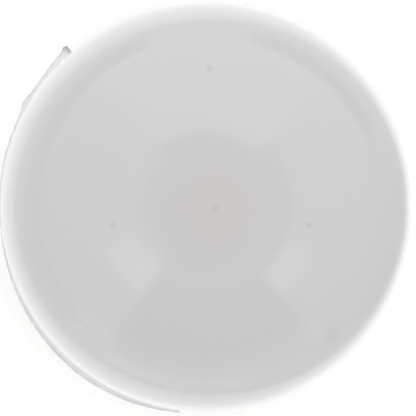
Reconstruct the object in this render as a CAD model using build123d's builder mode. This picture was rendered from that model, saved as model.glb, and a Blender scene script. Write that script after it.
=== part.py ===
from build123d import *
from math import asin, cos, degrees, radians, sin, sqrt, tan
import os

# Round domed cap for a tubular fence post, in millimetres and degrees.
#
# It is two mouldings with concealed fixings. The collar slides over the end of the post and
# is clamped by three set screws that push nylon pads inwards. The glossy dome then pushes
# down over the collar, hides the screws, and is gripped by a rubber ring in the collar's rim.
#
# Frame: +Z up the post, origin on the post's axis in the plane of the cap's lower edge.

# ---------------------------------------------------------------- driving dimensions
post_diameter = 60.3        # outside diameter of the tube that the cap covers
post_clearance = 0.25       # radial gap between post and collar bore
socket_depth = 24.0         # how far the post goes in, up to the seal

collar_wall = 2.4
foot_height = 3.0           # flange round the collar's lower edge
band_height = 10.0          # thick rim round the collar's upper edge
ledge_thickness = 2.4       # plate over the post's end
ledge_width = 8.1           # how far that plate reaches in from the bore
lead_in = 0.8               # chamfer that starts the post in the bore
rim_lead_in = 1.0           # chamfer that starts the dome on the rim

seal_thickness = 3.0
seal_side_gap = 0.1
seal_outer_lip = 0.7        # widths of the lips on either side of the seal's channel
seal_inner_lip = 1.3
seal_inner_lip_rise = 0.65  # the inner lip stops this much above the outer one
seal_proud = 0.1            # how far the seal stands below the outer lip

ring_groove_depth = 2.1
ring_groove_width = 3.4
ring_groove_play = 0.25     # above and below the fitted ring
ring_floor_gap = 0.01
ring_slip_gap = 0.1         # between the fitted ring and the skirt

dome_fit_gap = 0.25         # radial gap between collar rim and skirt
dome_wall = 2.0
shoulder_drop = 1.4         # the shoulder starts to turn in this far below the collar's top
skirt_draft = 0.5           # outside only, in degrees: the skirt is widest where the shoulder starts
shoulder_radius = 15.8
crown_radius = 61.0
edge_round = 0.5
skirt_lead_in = 0.6
dome_seat_gap = 0.05        # between the webs' feet and the collar
web_count = 6
web_thickness = 1.8
web_foot_setback = 1.9      # from the plate's inner edge to the foot of each web
web_arch_rise = 9.0
web_root = 0.8              # how deep the webs run into the dome's wall
hub_radius = 4.2
hub_core_radius = 2.0
hub_core_depth = 6.0
gate_dimple_radius = 1.5
gate_dimple_depth = 0.25
gate_nub_radius = 0.65
gate_nub_height = 0.18

key_count = 3
key_drop = 1.3              # how far the keys reach into the collar's plate
key_length = 6.2
key_setback = 1.2           # from the inner end of the web's foot to its key
key_side_gap = 0.25
key_end_gap = 0.3

screw_count = 3
screw_first_angle = 90.0
screw_radius = 2.45
screw_pitch = 0.8
screw_length = 4.0
screw_proud = 0.35          # how far the backed-out screw stands out of its boss
screw_cover_gap = 0.6       # from the backed-out screw to the rim's outside
thread_depth = 0.42
thread_clearance = 0.05
socket_across_flats = 2.5
hex_socket_depth = 2.0
pad_inset = 0.25            # the pad is this much smaller than the screw, in radius
pad_thickness = 1.1
pad_stem_radius = 1.0
pad_stem_length = 1.2
pad_edge_round = 0.25
pad_clearance = 0.05
pad_setback = 0.1           # pad face behind the bore wall at rest
insert_wall = 0.75
insert_tooth_height = 0.25
insert_teeth = 24
insert_waist = 0.8          # plain groove round the middle of the insert
insert_shoulder = 0.6       # plastic left between the insert and the bore
boss_wall = 1.7
boss_foot_gap = 2.3         # between the foot flange and each boss

spine_thickness = 3.0       # rib that carries each boss
rib_thickness = 1.4
rib_setback = 1.15          # the ribs stay this much inside the rim
ribs_between_bosses = 5
rib_spacing = 18.0
drain_width = 4.0
drain_depth = 1.2

# ---------------------------------------------------------------- derived sizes
bore_radius = post_diameter / 2 + post_clearance
barrel_radius = bore_radius + collar_wall

# Along each screw's axis, from the bore outwards: pad, screw, boss, rim.
pad_face = bore_radius + pad_setback
screw_nose = pad_face + pad_thickness + pad_clearance
screw_end = screw_nose + screw_length
boss_face = screw_end - screw_proud
insert_inner_end = bore_radius + insert_shoulder
insert_length = boss_face - insert_inner_end
rim_radius = screw_end + screw_cover_gap
skirt_inner_radius = rim_radius + dome_fit_gap
cap_radius = skirt_inner_radius + dome_wall

# Across each screw's axis.
pad_radius = screw_radius - pad_inset
screw_hole_radius = screw_radius + thread_clearance
insert_root_radius = screw_hole_radius + insert_wall
insert_radius = insert_root_radius + insert_tooth_height
boss_radius = insert_radius + boss_wall
screw_height = foot_height + boss_foot_gap + boss_radius
thread_turns = round(screw_length / screw_pitch)

seal_bottom = socket_depth
lip_bottom = seal_bottom + seal_proud
inner_lip_bottom = lip_bottom + seal_inner_lip_rise
seal_top = seal_bottom + seal_thickness
collar_top = seal_top + ledge_thickness
ledge_inner_radius = bore_radius - ledge_width
seal_outer_radius = bore_radius - seal_outer_lip - seal_side_gap
seal_inner_radius = ledge_inner_radius + seal_inner_lip + seal_side_gap

ring_middle = collar_top - band_height / 2
ring_outer_radius = skirt_inner_radius - ring_slip_gap
ring_inner_radius = rim_radius - ring_groove_depth + ring_floor_gap
ring_height = ring_groove_width - 2 * ring_groove_play

skirt_height = collar_top - shoulder_drop
skirt_mouth_radius = cap_radius - skirt_height * tan(radians(skirt_draft))
shoulder_middle = cap_radius - shoulder_radius
crown_middle = skirt_height - sqrt((crown_radius - shoulder_radius) ** 2 - shoulder_middle**2)
crown_half_angle = degrees(asin(shoulder_middle / (crown_radius - shoulder_radius)))
apex = crown_middle + crown_radius
web_foot = collar_top + dome_seat_gap
web_foot_inner = ledge_inner_radius + web_foot_setback
key_inner_radius = web_foot_inner + key_setback

barrel_open_height = collar_top - band_height - foot_height
rib_stand = rim_radius - barrel_radius - rib_setback
rib_first_angle = (360 / screw_count - (ribs_between_bosses - 1) * rib_spacing) / 2
screw_angles = [screw_first_angle + i * 360 / screw_count for i in range(screw_count)]
key_angles = [screw_first_angle + (i + 0.5) * 360 / key_count for i in range(key_count)]

os.makedirs("parts", exist_ok=True)


def radial_plane(angle, height, distance):
    """Plane square to a radius, at that distance from the axis, facing outwards."""
    along = Vector(cos(radians(angle)), sin(radians(angle)), 0)
    return Plane(origin=along * distance + Vector(0, 0, height), x_dir=(0, 0, 1), z_dir=along)


def save(part, name):
    part.label = name
    export_step(part, f"parts/{name}.step")


# ---------------------------------------------------------------- base_collar
with BuildPart() as base_collar:
    with BuildSketch(Plane.XZ):
        with BuildLine():
            Polyline(
                (bore_radius + lead_in, 0),
                (rim_radius, 0),
                (rim_radius, foot_height),
                (barrel_radius, foot_height),
                (barrel_radius, collar_top - band_height),
                (rim_radius, collar_top - band_height),
                (rim_radius, collar_top),
                (ledge_inner_radius, collar_top),
                (ledge_inner_radius, inner_lip_bottom),
                (ledge_inner_radius + seal_inner_lip, inner_lip_bottom),
                (ledge_inner_radius + seal_inner_lip, seal_top),
                (bore_radius - seal_outer_lip, seal_top),
                (bore_radius - seal_outer_lip, lip_bottom),
                (bore_radius, lip_bottom),
                (bore_radius, lead_in),
                close=True,
            )
        make_face()
        with Locations((rim_radius - ring_groove_depth / 2, ring_middle)):
            Rectangle(ring_groove_depth, ring_groove_width, mode=Mode.SUBTRACT)
    revolve(axis=Axis.Z)
    top_circles = base_collar.edges().filter_by(GeomType.CIRCLE).group_by(Axis.Z)[-1]
    chamfer(top_circles.sort_by(SortBy.RADIUS)[-1], rim_lead_in)

    # Stiffening ribs on the barrel, between foot and rim, and a thicker one behind each boss.
    for boss_angle in screw_angles:
        rib_angles = [boss_angle + rib_first_angle + i * rib_spacing for i in range(ribs_between_bosses)]
        thicknesses = [spine_thickness] + ribs_between_bosses * [rib_thickness]
        for angle, thickness in zip([boss_angle] + rib_angles, thicknesses):
            with Locations(Rotation(0, 0, angle)):
                with Locations((barrel_radius, 0, foot_height)):
                    Box(
                        2 * rib_stand,
                        thickness,
                        barrel_open_height,
                        align=(Align.CENTER, Align.CENTER, Align.MIN),
                    )
    with BuildSketch():
        Circle(bore_radius)
    extrude(amount=lip_bottom, mode=Mode.SUBTRACT)

    # Round bosses that hold the threaded inserts, with the pads' passage behind each.
    for angle in screw_angles:
        with BuildSketch(radial_plane(angle, screw_height, boss_face)):
            Circle(boss_radius)
        extrude(amount=-(boss_face - barrel_radius + collar_wall / 2))
        with BuildSketch(radial_plane(angle, screw_height, boss_face)):
            Circle(insert_radius)
        extrude(amount=-insert_length, mode=Mode.SUBTRACT)
        with BuildSketch(radial_plane(angle, screw_height, insert_inner_end)):
            Circle(screw_hole_radius + thread_clearance)
        extrude(amount=-2 * collar_wall, mode=Mode.SUBTRACT)

    # Pockets that the dome's keys drop into, and drain notches in the foot.
    for angle in key_angles:
        with Locations(Rotation(0, 0, angle)):
            with Locations((key_inner_radius + key_length / 2, 0, collar_top)):
                Box(
                    key_length + 2 * key_end_gap,
                    web_thickness + 2 * key_side_gap,
                    2 * (key_drop + key_end_gap),
                    mode=Mode.SUBTRACT,
                )
        with Locations(Rotation(0, 0, angle + rib_spacing / 2)):
            with Locations((rim_radius, 0, foot_height / 2)):
                Box(2 * drain_depth, drain_width, foot_height, mode=Mode.SUBTRACT)
save(base_collar.part, "base_collar")

# ---------------------------------------------------------------- post_seal
with BuildPart() as post_seal:
    with BuildSketch(Plane.XY.offset(seal_bottom)):
        Circle(seal_outer_radius)
        Circle(seal_inner_radius, mode=Mode.SUBTRACT)
    extrude(amount=seal_thickness)
save(post_seal.part, "post_seal")

# ---------------------------------------------------------------- grip_ring
with BuildPart() as grip_ring:
    with BuildSketch(Plane.XZ):
        with Locations(((ring_inner_radius + ring_outer_radius) / 2, ring_middle)):
            Ellipse((ring_outer_radius - ring_inner_radius) / 2, ring_height / 2)
    revolve(axis=Axis.Z)
save(grip_ring.part, "grip_ring")


# ---------------------------------------------------------------- dome_shell
def dome_profile(inset, mouth_radius):
    """Edges of half the dome's section down to the lower edge, on its outside or that far inside it."""
    with BuildLine() as half:
        shoulder = shoulder_radius - inset
        turn = CenterArc((shoulder_middle, skirt_height), shoulder, 0, 90 - crown_half_angle)
        CenterArc((0, crown_middle), crown_radius - inset, 90 - crown_half_angle, crown_half_angle)
        Polyline((0, apex - inset), (0, 0), (mouth_radius, 0), turn @ 0)
    return half.edges()


with BuildPart() as web_slabs:
    with PolarLocations(0, web_count // 2, start_angle=screw_first_angle, angular_range=180):
        Box(2 * cap_radius, web_thickness, 2 * apex)
    Cylinder(hub_radius, 2 * apex)

with BuildPart() as webs:
    with BuildSketch(Plane.XZ):
        make_face(dome_profile(dome_wall - web_root, skirt_inner_radius))
        Rectangle(2 * cap_radius, 2 * web_foot, mode=Mode.SUBTRACT)
        with Locations((hub_radius, web_foot)):
            Ellipse(web_foot_inner - hub_radius, web_arch_rise, mode=Mode.SUBTRACT)
        Rectangle(2 * hub_radius, 2 * (web_foot + web_arch_rise), mode=Mode.SUBTRACT)
    revolve(axis=Axis.Z)
    add(web_slabs.part, mode=Mode.INTERSECT)

with BuildPart() as dome_shell:
    with BuildSketch(Plane.XZ):
        make_face(dome_profile(0, skirt_mouth_radius))
        make_face(dome_profile(dome_wall, skirt_inner_radius), mode=Mode.SUBTRACT)
    revolve(axis=Axis.Z)
    lower_rims = dome_shell.edges().filter_by(GeomType.CIRCLE).group_by(Axis.Z)[0]
    chamfer(lower_rims.sort_by(SortBy.RADIUS)[0], skirt_lead_in)
    lower_rims = dome_shell.edges().filter_by(GeomType.CIRCLE).group_by(Axis.Z)[0]
    fillet(lower_rims.sort_by(SortBy.RADIUS)[-1], edge_round)
    add(webs.part)
    with Locations((0, 0, web_foot + web_arch_rise)):
        Cylinder(
            hub_core_radius,
            hub_core_depth,
            align=(Align.CENTER, Align.CENTER, Align.MIN),
            mode=Mode.SUBTRACT,
        )
    for angle in key_angles:
        with Locations(Rotation(0, 0, angle)):
            with Locations((key_inner_radius, 0, collar_top - key_drop)):
                Box(
                    key_length,
                    web_thickness,
                    key_drop + dome_wall,
                    align=(Align.MIN, Align.CENTER, Align.MIN),
                )

    # Mark left where the plastic entered the mould: a shallow dimple with a cut-off nub.
    with Locations((0, 0, apex - gate_dimple_depth)):
        Cylinder(
            gate_dimple_radius,
            dome_wall,
            align=(Align.CENTER, Align.CENTER, Align.MIN),
            mode=Mode.SUBTRACT,
        )
        Cylinder(gate_nub_radius, gate_nub_height, align=(Align.CENTER, Align.CENTER, Align.MIN))
save(dome_shell.part, "dome_shell")

# ---------------------------------------------------------------- set screws, inserts and pads
for number, angle in enumerate(screw_angles, start=1):
    with BuildPart() as screw_insert:
        with BuildSketch():
            Circle(insert_root_radius)
            with PolarLocations(insert_root_radius, insert_teeth):
                RegularPolygon(insert_radius - insert_root_radius, 3)
            Circle(screw_hole_radius, mode=Mode.SUBTRACT)
        extrude(amount=insert_length)
        with BuildSketch(Plane.XY.offset((insert_length - insert_waist) / 2)):
            Circle(insert_radius + insert_waist)
            Circle(insert_root_radius, mode=Mode.SUBTRACT)
        extrude(amount=insert_waist, mode=Mode.SUBTRACT)
    insert_seat = radial_plane(angle, screw_height, insert_inner_end)
    save(insert_seat.location * screw_insert.part, f"screw_insert_{number}")

    with BuildPart() as set_screw:
        with BuildSketch(Plane.XZ):
            with BuildLine():
                flank = [(screw_radius - thread_depth, 0)]
                for turn in range(thread_turns):
                    flank.append((screw_radius, (turn + 0.5) * screw_pitch))
                    flank.append((screw_radius - thread_depth, (turn + 1) * screw_pitch))
                Polyline((0, 0), *flank, (0, screw_length), close=True)
            make_face()
        revolve(axis=Axis.Z)
        with BuildSketch(Plane.XY.offset(screw_length)):
            RegularPolygon(socket_across_flats / 2, 6, major_radius=False)
        extrude(amount=-hex_socket_depth, mode=Mode.SUBTRACT)
        with BuildSketch():
            Circle(pad_stem_radius + pad_clearance)
        extrude(amount=pad_stem_length + pad_clearance, mode=Mode.SUBTRACT)
    screw_seat = radial_plane(angle, screw_height, screw_nose)
    save(screw_seat.location * set_screw.part, f"set_screw_{number}")

    with BuildPart() as screw_pad:
        Cylinder(pad_radius, pad_thickness, align=(Align.CENTER, Align.CENTER, Align.MIN))
        fillet(screw_pad.edges().group_by(Axis.Z)[0], pad_edge_round)
        with Locations((0, 0, pad_thickness)):
            Cylinder(
                pad_stem_radius,
                pad_clearance + pad_stem_length,
                align=(Align.CENTER, Align.CENTER, Align.MIN),
            )
    pad_seat = radial_plane(angle, screw_height, pad_face)
    save(pad_seat.location * screw_pad.part, f"screw_pad_{number}")

print("overall height", round(apex, 2), "across", round(2 * cap_radius, 2), "bore", round(2 * bore_radius, 2))
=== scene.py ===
# %% [markdown]
# # A white plastic cap for a fence post
#
# The real cap is two mouldings. A matte collar slides over the end of a tube and is clamped by
# three small set screws. A glossy white dome then pushes down over the collar and hides them.
# This lesson dresses a finished CAD model of that cap: it keeps the CAD model's frame, builds finer
# meshes where the looks need them, and gives every piece a procedural finish.
#
# We load the CAD model first and keep its box, because every size below is worked out from it.

# %% Load the fixed frame
from math import asin, cos, pi, radians, sin, sqrt, tan

import bmesh
import bpy
from mathutils import Matrix, Vector


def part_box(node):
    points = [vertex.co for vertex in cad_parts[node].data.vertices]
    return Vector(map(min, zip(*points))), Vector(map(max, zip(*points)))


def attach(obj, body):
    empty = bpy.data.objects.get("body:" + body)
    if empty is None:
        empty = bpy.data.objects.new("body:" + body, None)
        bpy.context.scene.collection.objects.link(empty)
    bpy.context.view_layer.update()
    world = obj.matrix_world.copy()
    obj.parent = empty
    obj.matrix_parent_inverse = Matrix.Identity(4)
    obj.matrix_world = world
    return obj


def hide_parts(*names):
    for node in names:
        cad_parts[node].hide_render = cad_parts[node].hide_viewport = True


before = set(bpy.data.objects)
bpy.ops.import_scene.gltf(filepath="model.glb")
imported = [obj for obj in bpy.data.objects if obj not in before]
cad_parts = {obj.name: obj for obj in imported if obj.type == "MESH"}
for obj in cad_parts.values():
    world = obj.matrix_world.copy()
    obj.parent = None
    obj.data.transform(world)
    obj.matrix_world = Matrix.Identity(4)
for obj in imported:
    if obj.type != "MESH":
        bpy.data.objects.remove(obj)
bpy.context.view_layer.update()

mm = 0.001
weld = 1e-7  # points closer than this, in metres, become one
scene = bpy.context.scene

# %% [markdown]
# ## The camera
#
# The cap is seen from above with a long lens, so that its round outline nearly fills the frame. The
# camera leans a few degrees to the left of the post's axis, which moves the middle of the dome to the
# right of the middle of the outline. A camera that looks straight down can't use a tracking
# constraint, because its up direction isn't defined there, so we build its axes by hand.

# %% Camera
dome_low, dome_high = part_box("dome_shell")
collar_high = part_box("base_collar")[1]
widest_radius = (dome_high.x - dome_low.x) / 2
shoulder_drop = 1.4 * mm  # the dome starts to turn in this far below the collar's top
skirt_height = collar_high.z - shoulder_drop

camera_distance = 500 * mm
camera_lean = radians(4.4)
camera_side = radians(169)
frame_margin = 1.011
aim = Vector((0.32 * mm, -0.27 * mm, skirt_height))


def camera_pose(target, distance, lean, side):
    """Matrix of a camera that looks at the target from above, leaning to one side, with +Y up."""
    back = Vector((sin(lean) * cos(side), sin(lean) * sin(side), cos(lean)))
    right = Vector((0, 1, 0)).cross(back).normalized()
    up = back.cross(right)
    turn = Matrix((right, up, back)).transposed().to_4x4()
    return Matrix.Translation(target + back * distance) @ turn


camera = bpy.data.objects.new("camera", bpy.data.cameras.new("camera"))
camera.data.lens = camera.data.sensor_width / 2 * camera_distance / (widest_radius * frame_margin)
camera.data.clip_start = camera_distance / 100
camera.matrix_world = camera_pose(aim, camera_distance, camera_lean, camera_side)
scene.collection.objects.link(camera)
scene.camera = camera
print("lens", round(camera.data.lens, 1), "mm")

# %% [markdown]
# ## Writing node maths as ordinary maths
#
# Materials and Geometry Nodes are both graphs of sockets. A small class that wraps one socket, with
# the usual operators, lets us write a mask as `1 - mask` and have the Math nodes appear by
# themselves. Every other node comes from its one `node` method: settings first, then sockets.


# %% One class for sockets
class Wire:
    """One output socket of a node tree. Arithmetic on it adds Math nodes to the tree."""

    def __init__(self, tree, socket=None):
        self.tree, self.socket = tree, socket

    def node(self, kind, settings=(), sockets=(), output=0):
        """Adds a node: its settings first, then the values or links of its input sockets."""
        made = self.tree.nodes.new(kind)
        for name, value in dict(settings).items():
            if name == "stops":
                ramp = made.color_ramp.elements
                while len(ramp) < len(value):
                    ramp.new(1)
                for stop, (place, colour) in zip(ramp, value):
                    stop.position, stop.color = place, colour
            else:
                setattr(made, name, value)
        for key, value in dict(sockets).items():
            if isinstance(value, Wire):
                self.tree.links.new(value.socket, made.inputs[key])
            else:
                made.inputs[key].default_value = value
        return Wire(self.tree, made.outputs[output])

    def maths(self, operation, *others):
        sockets = dict(enumerate((self, *others)))
        return self.node("ShaderNodeMath", {"operation": operation}, sockets)

    def flipped(self, operation, other):
        return self.node("ShaderNodeMath", {"operation": operation}, {0: other, 1: self})

    def __add__(self, other):
        return self.maths("ADD", other)

    def __sub__(self, other):
        return self.maths("SUBTRACT", other)

    def __rsub__(self, other):
        return self.flipped("SUBTRACT", other)

    def __mul__(self, other):
        return self.maths("MULTIPLY", other)

    def __truediv__(self, other):
        return self.maths("DIVIDE", other)

    __radd__ = __add__
    __rmul__ = __mul__

    def between(self, low, high, smooth=False):
        """0 below low, 1 above high, and a straight or smooth slope from one to the other."""
        kind = "SMOOTHSTEP" if smooth else "LINEAR"
        sockets = {"Value": self, "From Min": low, "From Max": high}
        return self.node("ShaderNodeMapRange", {"interpolation_type": kind, "clamp": True}, sockets)


print("Wire is ready")

# %% [markdown]
# ## Growing a mesh with Geometry Nodes
#
# A tree gets a named input for each of its sizes. To use it we hang it on an empty object as a
# modifier, set the inputs by their identifiers, let Blender evaluate it once, and keep the result as a
# plain mesh. The modifier then goes, so nothing is left that could change the piece later.


# %% Trees with named inputs, and plain meshes from them
def new_tree(name, sizes):
    """A geometry tree with these named number inputs, and a Wire for each of them."""
    tree = bpy.data.node_groups.new(name, "GeometryNodeTree")
    tree.interface.new_socket("Geometry", in_out="OUTPUT", socket_type="NodeSocketGeometry")
    tree.interface.new_socket("Start", in_out="INPUT", socket_type="NodeSocketGeometry")
    for size in sizes:
        tree.interface.new_socket(size, in_out="INPUT", socket_type="NodeSocketFloat")
    tree.interface.new_socket("Finish", in_out="INPUT", socket_type="NodeSocketMaterial")
    entry = tree.nodes.new("NodeGroupInput")
    return tree, {socket.name: Wire(tree, socket) for socket in entry.outputs if socket.name}


def close_tree(shape, finish):
    """Ends a tree: instances made real, then the finish."""
    real = shape.node("GeometryNodeRealizeInstances", (), {0: shape})
    painted = shape.node("GeometryNodeSetMaterial", (), {"Geometry": real, "Material": finish})
    exit_node = shape.tree.nodes.new("NodeGroupOutput")
    shape.tree.links.new(painted.socket, exit_node.inputs[0])


def with_mark(shape, name, value):
    """Stores a number on each point, which a material can read by its name."""
    settings = {"data_type": "FLOAT", "domain": "POINT"}
    sockets = {"Geometry": shape, "Name": name, "Value": value}
    return shape.node("GeometryNodeStoreNamedAttribute", settings, sockets)


def grow(name, tree, sizes):
    """Runs a tree and keeps what it makes as a plain mesh on an object at the origin."""
    piece = bpy.data.objects.new(name, bpy.data.meshes.new(name))
    scene.collection.objects.link(piece)
    modifier = piece.modifiers.new("grow", "NODES")
    modifier.node_group = tree
    for item in tree.interface.items_tree:
        if item.in_out == "INPUT" and item.name in sizes:
            modifier[item.identifier] = sizes[item.name]
    evaluated = piece.evaluated_get(bpy.context.evaluated_depsgraph_get())
    mesh = bpy.data.meshes.new_from_object(evaluated)
    piece.modifiers.clear()
    piece.data = mesh
    mesh.name = name
    return piece


def tidy_mesh(piece, crease):
    """Closes the mesh, turns its faces outwards and shades smoothly, except over edges past the crease."""
    form = bmesh.new()
    form.from_mesh(piece.data)
    bmesh.ops.remove_doubles(form, verts=form.verts, dist=weld)
    bmesh.ops.holes_fill(form, edges=[edge for edge in form.edges if edge.is_boundary])
    bmesh.ops.recalc_face_normals(form, faces=form.faces)
    open_edges = sum(len(edge.link_faces) != 2 for edge in form.edges)
    form.to_mesh(piece.data)
    form.free()
    piece.data.shade_smooth()
    piece.data.set_sharp_from_angle(angle=crease)
    print(piece.name, len(piece.data.polygons), "faces", open_edges, "open edges")
    return piece


# %% [markdown]
# ## Glossy white plastic
#
# The dome is injection-moulded in a polished mould, so it is white right through with a clear gloss.
# A few specks of burnt plastic are trapped in its surface, and the gate, where the plastic came in,
# has left a small warm stain. A wider warm tint over the middle of the crown is a painted reflection
# of the camera overhead, as the gloss would show it. Such marks could be painted on an image. We
# work them out from the distance to a point instead, which stays sharp close up and needs no image.


# %% Helpers for finishes
def new_material(name, sockets):
    """A Principled material with these constant sockets, its object coordinates and its shader."""
    material = bpy.data.materials.new(name)
    material.use_nodes = True
    shader = material.node_tree.nodes["Principled BSDF"]
    for key, value in sockets.items():
        shader.inputs[key].default_value = value
    place = Wire(material.node_tree).node("ShaderNodeTexCoord", output=3)
    return material, place, shader


def feed(shader, socket, wire):
    """Links a wire to one of the shader's sockets."""
    wire.tree.links.new(wire.socket, shader.inputs[socket])


def mixed(factor, first, second):
    """One colour that turns into another as the factor goes from 0 to 1."""
    sockets = {0: factor, 6: first, 7: second}
    return factor.node("ShaderNodeMix", {"data_type": "RGBA"}, sockets, output=2)


def scaled(place, factors):
    """The place with each of its three coordinates multiplied by a number."""
    return place.node("ShaderNodeVectorMath", {"operation": "MULTIPLY"}, {0: place, 1: factors})


def distance(place, point=(0, 0, 0)):
    """How far the place is from a point."""
    settings = {"operation": "DISTANCE"}
    return place.node("ShaderNodeVectorMath", settings, {0: place, 1: point}, output=1)


def noise(place, scale, detail):
    """Smooth noise with this many waves in a metre, and this much finer detail on top."""
    return place.node("ShaderNodeTexNoise", (), {"Vector": place, "Scale": scale, "Detail": detail})


def painted_mark(place, name):
    """A number that a geometry tree stored on the piece."""
    return place.node("ShaderNodeAttribute", {"attribute_name": name}, output=2)


# %% Dome plastic
dome_plastic, place, shader = new_material("dome_plastic", {"Roughness": 0.09, "IOR": 1.5})
white = (0.812, 0.806, 0.812, 1)
reflection_warm_white = (0.81, 0.782, 0.74, 1)
flat_place = scaled(place, (1, 1, 0))
radius = distance(flat_place)
# painted reflection: a warm tint out to 14 mm from the middle stands for the camera overhead in the gloss
painted_camera_reflection = 1 - radius.between(0.3 * mm, 14 * mm, smooth=True)
gate_stain = 1 - radius.between(0.2 * mm, 1.0 * mm, smooth=True)
colour = mixed(painted_camera_reflection * 0.6, white, reflection_warm_white)
colour = mixed(gate_stain * 0.3, colour, (0.66, 0.61, 0.54, 1))

specks = [  # where each one is on the dome, and its radius, in mm
    (-0.65, 25.2, 0.95),
    (-18.2, -3.05, 0.85),
    (17.15, -3.1, 0.85),
    (34.0, -16.0, 0.35),
    (21.7, -32.5, 0.35),
]
for x, y, size in specks:
    away = distance(flat_place, (x * mm, y * mm, 0))
    speck = 1 - away.between(0.2 * size * mm, size * mm, smooth=True)
    colour = mixed(speck * 0.2, colour, (0.42, 0.35, 0.32, 1))
feed(shader, "Base Color", colour)
print("dome plastic has", len(specks), "specks")

# %% [markdown]
# ## The dome's curve
#
# Seen from the side the dome is three stretches that meet without a kink: a shallow crown, a tight
# shoulder and a nearly straight skirt, with a small rounding at the mouth. The inside is the same
# curve set in by the wall. A modeller could draw the section and spin it. Here a Geometry Nodes tree
# works every point out from its row and column in a grid, so each radius stays a named input, and the
# same rule makes the outside, the inside and the space that the ribs fill.

# %% Dome sizes
dome_sizes = {
    "Shoulder radius": 15.8 * mm,
    "Crown radius": 61 * mm,
    "Widest radius": widest_radius,
    "Skirt height": skirt_height,
    "Wall": 2 * mm,
    "Outer mouth": widest_radius - skirt_height * tan(radians(0.5)),
    "Inner mouth": widest_radius - 2 * mm,
    "Outer edge": 0.5 * mm,
    "Inner edge": 0.6 * mm,
    "Gate radius": 1.5 * mm,
    "Gate depth": 0.04 * mm,
}
dome_sizes["Shoulder middle"] = widest_radius - dome_sizes["Shoulder radius"]
middles = dome_sizes["Crown radius"] - dome_sizes["Shoulder radius"]
dome_sizes["Crown angle"] = asin(dome_sizes["Shoulder middle"] / middles)
dome_sizes["Apex"] = (
    skirt_height - sqrt(middles**2 - dome_sizes["Shoulder middle"] ** 2) + dome_sizes["Crown radius"]
)
print("apex at", round(dome_sizes["Apex"] / mm, 2), "mm")


# %% One side of the dome as a bent grid
def grid_of(wire, columns, rows):
    """A flat grid, and for each of its points the turn round the axis and the row, counted from 0."""
    sockets = {"Size X": 1, "Size Y": 1, "Vertices X": columns + 1, "Vertices Y": rows + 1}
    grid = wire.node("GeometryNodeMeshGrid", (), sockets)
    spot = wire.node("GeometryNodeInputPosition")
    across = spot.node("ShaderNodeSeparateXYZ", (), {0: spot})
    along = Wire(wire.tree, across.socket.node.outputs[1])
    return grid, (across + 0.5) * (2 * pi), (along + 0.5) * rows


def wrapped(grid, turn, reach, height):
    """Moves the grid's points to a distance from the axis, a turn round it and a height."""
    sockets = {0: reach * turn.maths("COSINE"), 1: reach * turn.maths("SINE"), 2: height}
    spot = grid.node("ShaderNodeCombineXYZ", (), sockets)
    moved = grid.node("GeometryNodeSetPosition", (), {"Geometry": grid, "Position": spot})
    return moved.node("GeometryNodeMergeByDistance", (), {"Geometry": moved, "Distance": weld})


def stretches(row, rows):
    """For each named stretch of rows, how much of it is behind us: 0 before it, 1 after it."""
    share, start = {}, 0
    for stretch, count in rows.items():
        share[stretch] = row.between(start, start + count)
        start += count
    return share


def dome_side(size, inset, mouth, edge, side):
    """The dome's outside (side 1) or inside (side -1), from the pole to the middle of its lower edge."""
    rows = {"gate": 12, "crown": 36, "shoulder": 36, "skirt": 10, "edge": 6, "foot": 1}
    grid, turn, row = grid_of(size["Wall"], dome_columns, sum(rows.values()))
    share = stretches(row, rows)
    gate_angle = size["Gate radius"] * 1.3 / size["Crown radius"]
    crown_bend = share["gate"] * gate_angle + share["crown"] * (size["Crown angle"] - gate_angle)
    shoulder_bend = share["shoulder"] * (pi / 2 - size["Crown angle"]) + size["Crown angle"]
    edge_bend = share["edge"] * (pi / 2)
    crown = size["Crown radius"] - inset
    shoulder = size["Shoulder radius"] - inset
    foot_reach = (size["Outer mouth"] + size["Inner mouth"]) * 0.5
    reach = crown * crown_bend.maths("SINE")
    reach = reach + shoulder * (shoulder_bend.maths("SINE") - size["Crown angle"].maths("SINE"))
    reach = reach + share["skirt"] * (mouth - size["Widest radius"] + inset)
    reach = reach - (1 - edge_bend.maths("COSINE")) * edge * side
    reach = reach + share["foot"] * (foot_reach - mouth + edge * side)
    height = size["Apex"] - inset - crown * (1 - crown_bend.maths("COSINE"))
    height = height - shoulder * (size["Crown angle"].maths("COSINE") - shoulder_bend.maths("COSINE"))
    height = height - share["skirt"] * (size["Skirt height"] - edge)
    height = height - edge_bend.maths("SINE") * edge
    if side > 0:
        dish = 1 - (reach / size["Gate radius"]).between(0.35, 1, smooth=True)
        height = height - dish * size["Gate depth"]
    shell_side = wrapped(grid, turn, reach, height)
    if side > 0:
        shell_side = shell_side.node("GeometryNodeFlipFaces", (), {"Mesh": shell_side})
    return shell_side


# %% Both sides, joined at the lower edge
dome_columns = 192
dome_tree, size = new_tree("Domed shell", dome_sizes)
outside = dome_side(size, size["Wall"] * 0, size["Outer mouth"], size["Outer edge"], 1)
inside = dome_side(size, size["Wall"], size["Inner mouth"], size["Inner edge"], -1)
joined = outside.node("GeometryNodeJoinGeometry")
for part in (outside, inside):
    dome_tree.links.new(part.socket, joined.socket.node.inputs[0])
closed = joined.node("GeometryNodeMergeByDistance", (), {"Geometry": joined, "Distance": weld})

# %% [markdown]
# ## Webs, hub and keys inside the dome
#
# Six thin webs stiffen the crown. They are three plates that cross in a hub under the gate, cut off
# below by an arch, and their feet stand on the collar. Three short keys under the feet stop the dome
# from turning. Each plate is one strip right across the dome: its top edge runs inside the wall, and
# at both ends it tapers to nothing there. A union merges everything into one moulding, so no face is
# left buried, and a last cut drills the hub.

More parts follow.
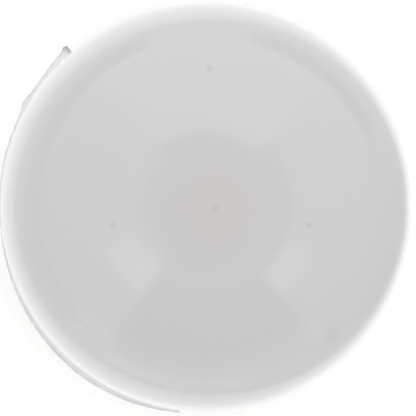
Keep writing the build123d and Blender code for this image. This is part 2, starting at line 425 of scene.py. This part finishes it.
# %% Sizes of the webs
seat_gap = 0.05 * mm  # between the webs' feet and the collar
web_foot = collar_high.z + seat_gap
web_sizes = {
    "Root inset": 1.2 * mm,
    "Web foot": web_foot,
    "Foot reach": 24.2 * mm,
    "Arch rise": 9 * mm,
    "Web thickness": 1.8 * mm,
    "Hub radius": 4.2 * mm,
    "Core radius": 2 * mm,
    "Core depth": 6 * mm,
    "Key reach": 25.4 * mm,
    "Key length": 6.2 * mm,
    "Key drop": 1.3 * mm,
}
web_turns = [radians(angle) for angle in (30, 90, 150)]
key_turns = [radians(angle) for angle in (30, 150, 270)]
print(2 * len(web_turns), "webs and", len(key_turns), "keys")
for name in web_sizes:
    dome_tree.interface.new_socket(name, in_out="INPUT", socket_type="NodeSocketFloat")
entry = size["Wall"].socket.node
size.update({socket.name: Wire(dome_tree, socket) for socket in entry.outputs if socket.name})


# %% One plate across the dome
def square_section(turn):
    """For a strip with a square section: which side (-1 or 1) and which height (0 or 1) a corner is at."""
    corner = turn - pi / 4
    side = corner.maths("SINE") * sqrt(2)
    up = (1 - corner.maths("COSINE") * sqrt(2)) * 0.5
    return side, up


def circle_height(radius, reach):
    """How high a circle of this radius stands at this distance from its middle."""
    return (radius * radius - reach * reach).maths("MAXIMUM", 0).maths("SQRT")


def web_plate(size, turn_round):
    """A plate through the axis, between the arch below and a curve inside the dome's wall above."""
    steps = 240
    grid, turn, row = grid_of(size["Wall"], 4, steps)
    side, up = square_section(turn)
    crown = size["Crown radius"] - size["Root inset"]
    shoulder = size["Shoulder radius"] - size["Root inset"]
    farthest = size["Shoulder middle"] + circle_height(shoulder, size["Web foot"] - size["Skirt height"])
    along = (row / (steps / 2) - 1) * farthest
    reach = along.maths("ABSOLUTE")
    crown_end = crown * size["Crown angle"].maths("SINE")
    on_crown = circle_height(crown, reach.maths("MINIMUM", crown_end))
    on_shoulder = circle_height(shoulder, reach.maths("MAXIMUM", crown_end) - size["Shoulder middle"])
    shoulder_start = circle_height(shoulder, crown_end - size["Shoulder middle"])
    top = size["Apex"] - size["Crown radius"] + on_crown + on_shoulder - shoulder_start
    arch = circle_height(1 + reach * 0, reach.between(size["Hub radius"], size["Foot reach"]))
    bottom = size["Web foot"] + size["Arch rise"] * arch
    sockets = {0: along, 1: side * size["Web thickness"] * 0.5, 2: bottom + (top - bottom) * up}
    spot = grid.node("ShaderNodeCombineXYZ", (), sockets)
    moved = grid.node("GeometryNodeSetPosition", (), {"Geometry": grid, "Position": spot})
    whole = moved.node("GeometryNodeMergeByDistance", (), {"Geometry": moved, "Distance": weld})
    return whole.node("GeometryNodeTransform", (), {"Geometry": whole, "Rotation": (0, 0, turn_round)})


# %% Solids that join or cut
def merged_solid(first, others, operation):
    """One closed solid from several, by union, or by cutting the others out of the first."""
    settings = {"operation": operation, "solver": "MANIFOLD"}
    sockets = {"Mesh 1": first} if operation == "DIFFERENCE" else {}
    boolean = first.node("GeometryNodeMeshBoolean", settings, sockets)
    cutters = others if operation == "DIFFERENCE" else [first, *others]
    for solid in cutters:
        first.tree.links.new(solid.socket, boolean.socket.node.inputs["Mesh 2"])
    return boolean


def drum(radius, bottom, top):
    """A closed cylinder round the axis, from one height to another."""
    sockets = {"Vertices": 64, "Radius": radius, "Depth": top - bottom}
    body = radius.node("GeometryNodeMeshCylinder", (), sockets)
    lift = radius.node("ShaderNodeCombineXYZ", (), {2: (top + bottom) * 0.5})
    return body.node("GeometryNodeTransform", (), {"Geometry": body, "Translation": lift})


def key_block(size, turn_round):
    """A short block under a web's foot, turned round the axis to its place."""
    height = size["Key drop"] + size["Wall"]
    sides = {0: size["Key length"], 1: size["Web thickness"], 2: height}
    box_size = height.node("ShaderNodeCombineXYZ", (), sides)
    block = height.node("GeometryNodeMeshCube", (), {"Size": box_size})
    middle = size["Key reach"] + size["Key length"] * 0.5
    lift = size["Web foot"] - size["Key drop"] + height * 0.5
    shift = height.node("ShaderNodeCombineXYZ", (), {0: middle, 2: lift})
    placed = block.node("GeometryNodeTransform", (), {"Geometry": block, "Translation": shift})
    return placed.node("GeometryNodeTransform", (), {"Geometry": placed, "Rotation": (0, 0, turn_round)})


# %% One moulding from shell, webs, hub and keys
hub_bottom = size["Web foot"] + size["Arch rise"]
hub = drum(size["Hub radius"], hub_bottom, size["Apex"] - size["Wall"] * 0.5)
core = drum(size["Core radius"], hub_bottom - size["Core depth"], hub_bottom + size["Core depth"])
stiffeners = [web_plate(size, turn) for turn in web_turns] + [key_block(size, turn) for turn in key_turns]
moulding = merged_solid(closed, [*stiffeners, hub], "UNION")
drilled = merged_solid(moulding, [core], "DIFFERENCE")
close_tree(drilled, size["Finish"])
dome = grow("dome", dome_tree, {**dome_sizes, **web_sizes, "Finish": dome_plastic})
tidy_mesh(dome, crease=radians(35))

# %% [markdown]
# ## Flash along the parting line
#
# Where the two halves of the mould met, at the dome's widest place, a film of plastic has crept out.
# It is up to a millimetre wide on one side, thins to nothing half way, and starts in a torn corner.
# It could be a displaced edge of the dome itself, but it is so thin that the light shines through,
# so it is its own strip with its own part-transparent plastic. One ramp gives the strip's width round
# the cap, noise frays its edge, and two stored marks tell the material where it is thin or torn.

# %% Flash material
flash_plastic, place, shader = new_material("flash_plastic", {"Roughness": 0.3, "IOR": 1.5})
thinness = painted_mark(place, "thinness")
torn = painted_mark(place, "torn")
grain = noise(place, 900, 2)
# painted shade: the flash's thin outer edge is painted a darker pinkish grey and made less clear, as its
# shaded edge
painted_edge_shade = thinness.between(0.55, 0.95, smooth=True) * grain.between(0.3, 0.6)
colour = mixed(painted_edge_shade, (0.92, 0.915, 0.91, 1), (0.72, 0.67, 0.665, 1))
feed(shader, "Base Color", mixed(torn * 0.7, colour, (0.50, 0.46, 0.45, 1)))
feed(shader, "Alpha", 0.38 + painted_edge_shade * 0.14 + torn * 0.25)

# %% Flash strip
flash_start, flash_end = radians(131), radians(262.5)
flash_sizes = {
    "Outline radius": widest_radius,
    "Parting height": skirt_height,
    "Widest": 1.45 * mm,
    "Root depth": 0.35 * mm,
    "Root thickness": 0.35 * mm,
    "Tip thickness": 0.05 * mm,
    "Fraying": 0.16 * mm,
    "Wave": 0.12 * mm,
}
flash_widths = [  # how far along the strip, from 0 to 1, and its width there in mm
    (0.00, 1.20),
    (0.008, 1.45),
    (0.017, 1.00),
    (0.03, 0.88),
    (0.075, 0.52),
    (0.12, 0.50),
    (0.145, 0.85),
    (0.18, 0.28),
    (0.30, 0.28),
    (0.42, 0.06),
    (0.50, 0.32),
    (0.77, 0.92),
    (0.90, 0.74),
    (1.00, 0.42),
]
flash_tree, size = new_tree("Flash strip", flash_sizes)
flash_steps = 700
grid, turn, row = grid_of(size["Widest"], 4, flash_steps)
side, up = square_section(turn)
share = row / flash_steps
azimuth = share * (flash_end - flash_start) + flash_start
widest = max(width for position, width in flash_widths)
stops = [(position, (width / widest,) * 3 + (1,)) for position, width in flash_widths]
width_ramp = share.node("ShaderNodeValToRGB", {"stops": stops}, {0: share})
fray_settings = {"noise_dimensions": "1D"}
fine = {"W": share * 60, "Scale": 1, "Detail": 6, "Roughness": 0.7}
fray = share.node("ShaderNodeTexNoise", fray_settings, fine)
coarse = {"W": share * 14 + 5, "Scale": 1, "Detail": 2}
wave = share.node("ShaderNodeTexNoise", fray_settings, coarse)
width = size["Widest"] * width_ramp.between(0, 1) + size["Fraying"] * (fray.between(0, 1) - 0.5)
tip = side * 0.5 + 0.5
reach = size["Outline radius"] - size["Root depth"] + tip * (size["Root depth"] + width)
thickness = size["Root thickness"] + tip * (size["Tip thickness"] - size["Root thickness"])
height = size["Parting height"] + (up - 0.5) * thickness + size["Wave"] * (wave.between(0, 1) - 0.5) * tip
torn_corner = 1 - share.between(0.004, 0.014, smooth=True)
marked = with_mark(with_mark(grid, "thinness", tip), "torn", torn_corner)
flash = wrapped(marked, azimuth, reach, height)
close_tree(flash, size["Finish"])
flash_strip = grow("mould_flash", flash_tree, {**flash_sizes, "Finish": flash_plastic})
tidy_mesh(flash_strip, crease=radians(40))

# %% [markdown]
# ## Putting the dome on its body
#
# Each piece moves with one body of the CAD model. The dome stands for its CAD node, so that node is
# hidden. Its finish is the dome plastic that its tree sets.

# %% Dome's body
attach(dome, "dome")
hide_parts("dome_shell")
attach(flash_strip, "dome")

# %% [markdown]
# ## Set screws with a real helical thread
#
# Three small steel set screws clamp the collar on the post. Each has a rolled thread, a hexagon
# socket in the end that faces out, and a hole in its nose for the stem of a nylon pad. A spiral swept
# by hand is hard to close at both ends. Here the whole screw is one bent grid again: the rows run from
# the hole in the nose, over the thread, to the floor of the socket, and the thread is a wave whose
# phase turns with the angle round the screw. Two cones cut its ends off as a lathe would.

# %% Screw steel
screw_steel, place, shader = new_material("screw_steel", {"Metallic": 1.0})
smear = noise(place, 1200, 3)
# painted shade: the thread's valleys and the socket's floor are painted darker
oiled = painted_mark(place, "oiled")
colour = mixed(smear.between(0.3, 0.7), (0.60, 0.60, 0.61, 1), (0.68, 0.675, 0.67, 1))
feed(shader, "Base Color", mixed(oiled * 0.7, colour, (0.20, 0.185, 0.165, 1)))
feed(shader, "Roughness", 0.22 + smear.between(0.3, 0.7) * 0.14)
print(screw_steel.name, "has", len(screw_steel.node_tree.nodes), "nodes")

# %% Screw sizes, from the first screw's place on +Y
screw_low, screw_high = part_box("set_screw_1")
screw_count = 3
first_turn = radians(90)
screw_sizes = {
    "Nose distance": screw_low.y,
    "Axis height": (screw_low.z + screw_high.z) / 2,
    "Length": screw_high.y - screw_low.y,
    "Thread radius": (screw_high.x - screw_low.x) / 2,
    "Thread depth": 0.42 * mm,
    "Pitch": 0.8 * mm,
    "Nose radius": 1.75 * mm,
    "End radius": 1.95 * mm,
    "Cone slope": 1.0,
    "Half across flats": 1.25 * mm,
    "Socket depth": 2 * mm,
    "Socket cone": 0.3 * mm,
    "Mouth chamfer": 0.16 * mm,
    "Stem hole radius": 1.05 * mm,
    "Stem hole depth": 1.25 * mm,
    "Crest share": 0.14,
    "Turn": first_turn,
}
print("screw is", round(screw_sizes["Length"] / mm, 2), "mm long")

# %% Screw tree
screw_tree, size = new_tree("Set screw", screw_sizes)
rows = {"hole": 1, "wall": 1, "nose": 1, "thread": 90, "end": 1, "mouth": 1, "socket": 1, "floor": 1}
screw_columns = 72
grid, turn, row = grid_of(size["Length"], screw_columns, sum(rows.values()))
share = stretches(row, rows)
along = share["thread"] * size["Length"]
phase = (along / size["Pitch"] + 20 - turn / (2 * pi)).maths("FRACT")  # 20 keeps it positive
valley = 1 - (phase * 2 - 1).maths("ABSOLUTE").between(0, 1 - size["Crest share"])
thread_reach = size["Thread radius"] - size["Thread depth"] * valley
nose_cone = size["Nose radius"] + along * size["Cone slope"]
end_cone = size["End radius"] + (size["Length"] - along) * size["Cone slope"]
cut_reach = thread_reach.maths("MINIMUM", nose_cone).maths("MINIMUM", end_cone)
flat = (turn + pi * 2).maths("MODULO", pi / 3) - pi / 6
hexagon = size["Half across flats"] / flat.maths("COSINE")
mouth_radius = size["Half across flats"] / cos(pi / 6) + size["Mouth chamfer"]
reach = share["hole"] * size["Stem hole radius"]
reach = reach + share["nose"] * (size["Nose radius"] - size["Stem hole radius"])
reach = reach + (cut_reach - size["Nose radius"])
reach = reach + share["end"] * (mouth_radius - size["End radius"])
reach = reach + share["mouth"] * (hexagon - mouth_radius) - share["floor"] * hexagon
height = (1 - share["wall"]) * size["Stem hole depth"] + along
height = height - share["mouth"] * size["Mouth chamfer"]
height = height - share["socket"] * (size["Socket depth"] - size["Mouth chamfer"])
height = height - share["floor"] * size["Socket cone"]
# the valleys of the thread and the floor of the socket are marked for painted shade
marked = with_mark(grid, "oiled", valley.between(0.55, 1) + share["floor"])
screw_shape = wrapped(marked, turn, reach, height)
seat = size["Length"].node("ShaderNodeCombineXYZ", (), {0: size["Nose distance"], 2: size["Axis height"]})
sockets = {"Geometry": screw_shape, "Rotation": (0, pi / 2, 0), "Translation": seat}
laid = screw_shape.node("GeometryNodeTransform", (), sockets)
turn_round = size["Turn"].node("ShaderNodeCombineXYZ", (), {2: size["Turn"]})
placed = laid.node("GeometryNodeTransform", (), {"Geometry": laid, "Rotation": turn_round})
close_tree(placed, size["Finish"])

# %% Three screws
for number in range(1, screw_count + 1):
    screw_sizes["Turn"] = first_turn + (number - 1) * 2 * pi / screw_count
    screw = grow(f"screw_{number}", screw_tree, {**screw_sizes, "Finish": screw_steel})
    tidy_mesh(screw, crease=radians(28))
    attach(screw, f"screw_{number}")
    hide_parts(f"set_screw_{number}")

# %% [markdown]
# ## The pieces under the dome
#
# The collar, the seal, the grip ring, the brass inserts and the nylon pads already have their true
# shape in the CAD model. Its meshes are loose triangles, which shade badly and have razor edges that
# no moulding has. So each piece is built again from a copy: the triangles are joined, flat ones are
# merged into whole faces, and every sharp edge is rounded by a tenth of a millimetre or so, because a
# rounded edge catches the light. Nothing grows by this, so the sizes stay those of the CAD model.


# %% Rounded copies of CAD pieces
flat_angle = radians(0.5)  # faces that meet at less than this are one flat face
crease = radians(35)  # edges sharper than this are rounded


def rounded_copy(name, node, body, finish, rounding):
    """Rebuilds a CAD node with joined faces and rounded edges, and puts it on its body."""
    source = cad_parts[node].data
    mesh = bpy.data.meshes.new(name)
    corners = [corner.co for corner in source.vertices]
    mesh.from_pydata(corners, [], [face.vertices for face in source.polygons])
    form = bmesh.new()
    form.from_mesh(mesh)
    bmesh.ops.remove_doubles(form, verts=form.verts, dist=10 * weld)
    bmesh.ops.dissolve_limit(form, angle_limit=flat_angle, verts=form.verts, edges=form.edges)
    sharp = [edge for edge in form.edges if edge.is_manifold and edge.calc_face_angle() > crease]
    round_off = {"segments": 2, "profile": 0.5, "affect": "EDGES", "clamp_overlap": True}
    bmesh.ops.bevel(form, geom=sharp, offset=rounding, **round_off)
    bmesh.ops.triangulate(form, faces=[face for face in form.faces if len(face.verts) > 4])
    form.to_mesh(mesh)
    form.free()
    piece = bpy.data.objects.new(name, mesh)
    scene.collection.objects.link(piece)
    mesh.materials.append(finish)
    tidy_mesh(piece, crease)
    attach(piece, body)
    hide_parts(node)


def bumped(shader, height, strength, depth):
    """Feeds a height to the shader as a bump of this strength and depth."""
    sockets = {"Strength": strength, "Distance": depth, "Height": height}
    feed(shader, "Normal", height.node("ShaderNodeBump", (), sockets))


# %% [markdown]
# The collar is moulded in a mould that was left with a fine spark-eroded texture, which hides
# scuffs. Noise at a third of a millimetre gives the texture, and slower noise varies tone and gloss.

# %% Collar plastic
collar_plastic, place, shader = new_material("collar_plastic", {"IOR": 1.49})
spark_marks = {"Vector": place, "Scale": 3200, "Detail": 3, "Roughness": 0.6}
texture = place.node("ShaderNodeTexNoise", (), spark_marks)
cloud = noise(place, 90, 3)
colour = mixed(cloud.between(0.35, 0.65), (0.70, 0.70, 0.685, 1), (0.745, 0.745, 0.73, 1))
feed(shader, "Base Color", mixed(texture.between(0.55, 0.8) * 0.25, colour, (0.62, 0.62, 0.605, 1)))
feed(shader, "Roughness", 0.5 + cloud.between(0.3, 0.7) * 0.14)
bumped(shader, texture, 0.35, 0.05 * mm)
rounded_copy("collar", "base_collar", "base", collar_plastic, 0.12 * mm)

# %% [markdown]
# The seal is soft closed-cell rubber, so it is dull and pitted, with a grey bloom. The grip ring is
# solid rubber: smoother, with the fine parting line of its own mould round the outside.

# %% Seal rubber
seal_rubber, place, shader = new_material("seal_rubber", {"IOR": 1.45})
pores = place.node("ShaderNodeTexVoronoi", {"feature": "F1"}, {"Vector": place, "Scale": 1700})
bloom = noise(place, 160, 4)
colour = mixed(bloom.between(0.4, 0.7), (0.045, 0.045, 0.047, 1), (0.085, 0.084, 0.082, 1))
feed(shader, "Base Color", mixed(1 - pores.between(0.1, 0.4), colour, (0.02, 0.02, 0.021, 1)))
feed(shader, "Roughness", 0.72 + bloom.between(0.3, 0.7) * 0.16)
bumped(shader, pores.between(0.05, 0.5), 0.5, 0.08 * mm)
rounded_copy("seal", "post_seal", "base", seal_rubber, 0.15 * mm)

# %% Ring rubber
ring_low, ring_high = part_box("grip_ring")
ring_rubber, place, shader = new_material("ring_rubber", {"IOR": 1.5})
ring_middle = (ring_low.z + ring_high.z) / 2
height = place.node("ShaderNodeSeparateXYZ", (), {0: place}, output=2)
line = 1 - (height - ring_middle).maths("ABSOLUTE").between(0.05 * mm, 0.14 * mm)
bloom = noise(place, 260, 4)
colour = mixed(bloom.between(0.45, 0.75), (0.032, 0.032, 0.034, 1), (0.06, 0.06, 0.06, 1))
feed(shader, "Base Color", mixed(line * 0.6, colour, (0.075, 0.074, 0.072, 1)))
feed(shader, "Roughness", 0.38 + bloom.between(0.3, 0.7) * 0.2)
bumped(shader, line + bloom * 0.1, 0.5, 0.06 * mm)
rounded_copy("ring", "grip_ring", "base", ring_rubber, 0.3 * mm)

# %% [markdown]
# The inserts are turned from brass bar and knurled, then pressed into the collar while hot. Their
# axes point away from the post, so the distance from the post's axis gives the rings that a lathe tool
# leaves. The pads are turned from natural nylon, which is a little milky.

# %% Brass
insert_brass, place, shader = new_material("insert_brass", {"Metallic": 1.0})
radius = distance(scaled(place, (1, 1, 0)))
ring_settings = {"noise_dimensions": "1D"}
rings = radius.node("ShaderNodeTexNoise", ring_settings, {"W": radius * 6000, "Scale": 1})
tarnish = noise(place, 700, 4)
feed(shader, "Base Color", mixed(tarnish.between(0.4, 0.7), (0.80, 0.60, 0.28, 1), (0.62, 0.44, 0.20, 1)))
feed(shader, "Roughness", 0.2 + rings.between(0.3, 0.7) * 0.16 + tarnish.between(0.4, 0.8) * 0.14)
bumped(shader, rings, 0.3, 0.03 * mm)

# %% Nylon
pad_nylon, place, shader = new_material("pad_nylon", {"IOR": 1.53, "Subsurface Weight": 0.15})
shader.inputs["Subsurface Radius"].default_value = (0.6 * mm, 0.5 * mm, 0.35 * mm)
haze = noise(place, 1500, 3)
feed(shader, "Base Color", mixed(haze.between(0.35, 0.65), (0.80, 0.78, 0.70, 1), (0.84, 0.825, 0.76, 1)))
feed(shader, "Roughness", 0.36 + haze.between(0.3, 0.7) * 0.16)
bumped(shader, haze, 0.25, 0.04 * mm)

# %% Three inserts and three pads
for number in range(1, screw_count + 1):
    node = f"screw_insert_{number}"
    rounded_copy(f"insert_{number}", node, "base", insert_brass, 0.04 * mm)
    node = f"screw_pad_{number}"
    rounded_copy(f"pad_{number}", node, f"pad_{number}", pad_nylon, 0.06 * mm)

# %% [markdown]
# ## The studio
#
# White plastic on a white table needs light from all round, and its gloss shows whatever is bright or
# dark in the room. The cap stands on a long sheet of bright white paper on a pale table, which lights
# its rim from below. Both glow a little, so they stay pale without a hard lamp. Close round the cap
# the glow is turned down, which paints in the shadow that the cap casts on the floor. The floor can
# be seen through from below, so that it never hides the cap's underside.

# %% Floor
floor_mesh = bpy.data.meshes.new("floor")
form = bmesh.new()
bmesh.ops.create_circle(form, cap_ends=True, segments=128, radius=6)
form.to_mesh(floor_mesh)
form.free()
floor = bpy.data.objects.new("floor", floor_mesh)
scene.collection.objects.link(floor)
paper, place, shader = new_material(
    "paper", {"Base Color": (0.3, 0.3, 0.3, 1), "Roughness": 0.9, "Emission Strength": 1}
)
sheet_glow = (1.28, 1.27, 1.25, 1)
table_glow = (0.45, 0.45, 0.45, 1)
painted_shadow_glow = (0.74, 0.735, 0.725, 1)
sheet_middle = (-23 * mm, 0, 0)
sheet_stretch = (1, 0.4, 1)  # the sheet is two and a half times as long as it is wide
off_sheet = distance(scaled(place, sheet_stretch), sheet_middle).between(84 * mm, 122 * mm, smooth=True)
glow = mixed(off_sheet, sheet_glow, table_glow)
# painted shadow: within 26 mm of the cap's outline the floor's glow drops to a dimmer grey, standing for
# the cap's shadow
outside_painted_shadow = distance(place).between(widest_radius, widest_radius + 26 * mm, smooth=True)
feed(shader, "Emission Color", mixed(outside_painted_shadow, painted_shadow_glow, glow))
underside = place.node("ShaderNodeNewGeometry", output=6)
clear = place.node("ShaderNodeBsdfTransparent")
surface = Wire(place.tree, shader.outputs[0])
one_sided = underside.node("ShaderNodeMixShader", (), {0: underside, 1: surface, 2: clear})
place.tree.links.new(one_sided.socket, place.tree.nodes["Material Output"].inputs["Surface"])
floor_mesh.materials.append(paper)

# %% [markdown]
# The world plays the walls of a small studio. Each panel is a patch of directions with a soft border.
# Its row says where its middle is, as an azimuth from +X towards +Y, half its width, the polar angles
# down from straight up where it starts and ends, all in degrees, then its strength and its tint. The
# gaps over the cap and in front of it show in the gloss as soft darker shapes, and a panel with a
# negative strength takes light away, as a dark seam between two sheets would.

# %% Walls of light
panels = {
    "back": (87, 42, 27, 66, 1.27, (0.99, 1.0, 1.01)),
    "back, low": (90, 18, 64, 87, 0.80, (1, 1, 1)),
    "left": (183, 54, 21.5, 66, 0.84, (0.99, 1.0, 1.02)),
    "right": (359, 47, 33, 70, 0.86, (0.99, 1.0, 1.02)),
    "left corner": (220, 17, 27, 39, 0.85, (1, 1, 1)),
    "front edge": (272, 50, 27, 28.5, 0.8, (1, 1, 1)),
    "right corner": (324, 13, 33, 44, 0.70, (1, 1, 1)),
    "front, low": (268, 46, 60, 95, 0.62, (1, 1, 1)),
    "right, low": (350, 32, 72, 95, 0.75, (1, 1, 1)),
    "left, low": (222, 66, 70, 95, 0.42, (1, 1, 1)),
    "left seam": (193, 27, 60, 61, -0.8, (1, 1, 1)),
}
room_light = (0.16, 0.155, 0.15, 1)
panel_border = 2

# %% World
scene.world = bpy.data.worlds.new("studio")
scene.world.use_nodes = True
studio = scene.world.node_tree
background = studio.nodes["Background"]
direction = Wire(studio).node("ShaderNodeTexCoord")
split = direction.node("ShaderNodeSeparateXYZ", (), {0: direction})
east, north, height = (Wire(studio, socket) for socket in split.socket.node.outputs)
polar = height.maths("ARCCOSINE") * (180 / pi)
azimuth = north.maths("ARCTAN2", east) * (180 / pi)
light = room_light
for name, (middle, half_width, start, end, strength, tint) in panels.items():
    turned = (azimuth - middle + 900).maths("MODULO", 360) - 180
    across = turned.maths("ABSOLUTE")
    inside = 1 - across.between(half_width - panel_border, half_width + panel_border, smooth=True)
    inside = inside * polar.between(start - panel_border, start + panel_border, smooth=True)
    inside = inside * (1 - polar.between(end - panel_border, end + panel_border, smooth=True))
    colour = tuple(strength * part for part in tint)
    lit = inside.node("ShaderNodeVectorMath", {"operation": "SCALE"}, {0: colour, "Scale": inside})
    sockets = {0: 1.0, 6: light, 7: lit}
    settings = {"data_type": "RGBA", "blend_type": "ADD", "clamp_result": False}
    light = inside.node("ShaderNodeMix", settings, sockets, output=2)
seen_directly = direction.node("ShaderNodeLightPath")
light = mixed(seen_directly, light, (1, 1, 1, 1))
studio.links.new(light.socket, background.inputs["Color"])
scene.view_settings.view_transform = "Standard"
print("studio has", len(panels), "panels")
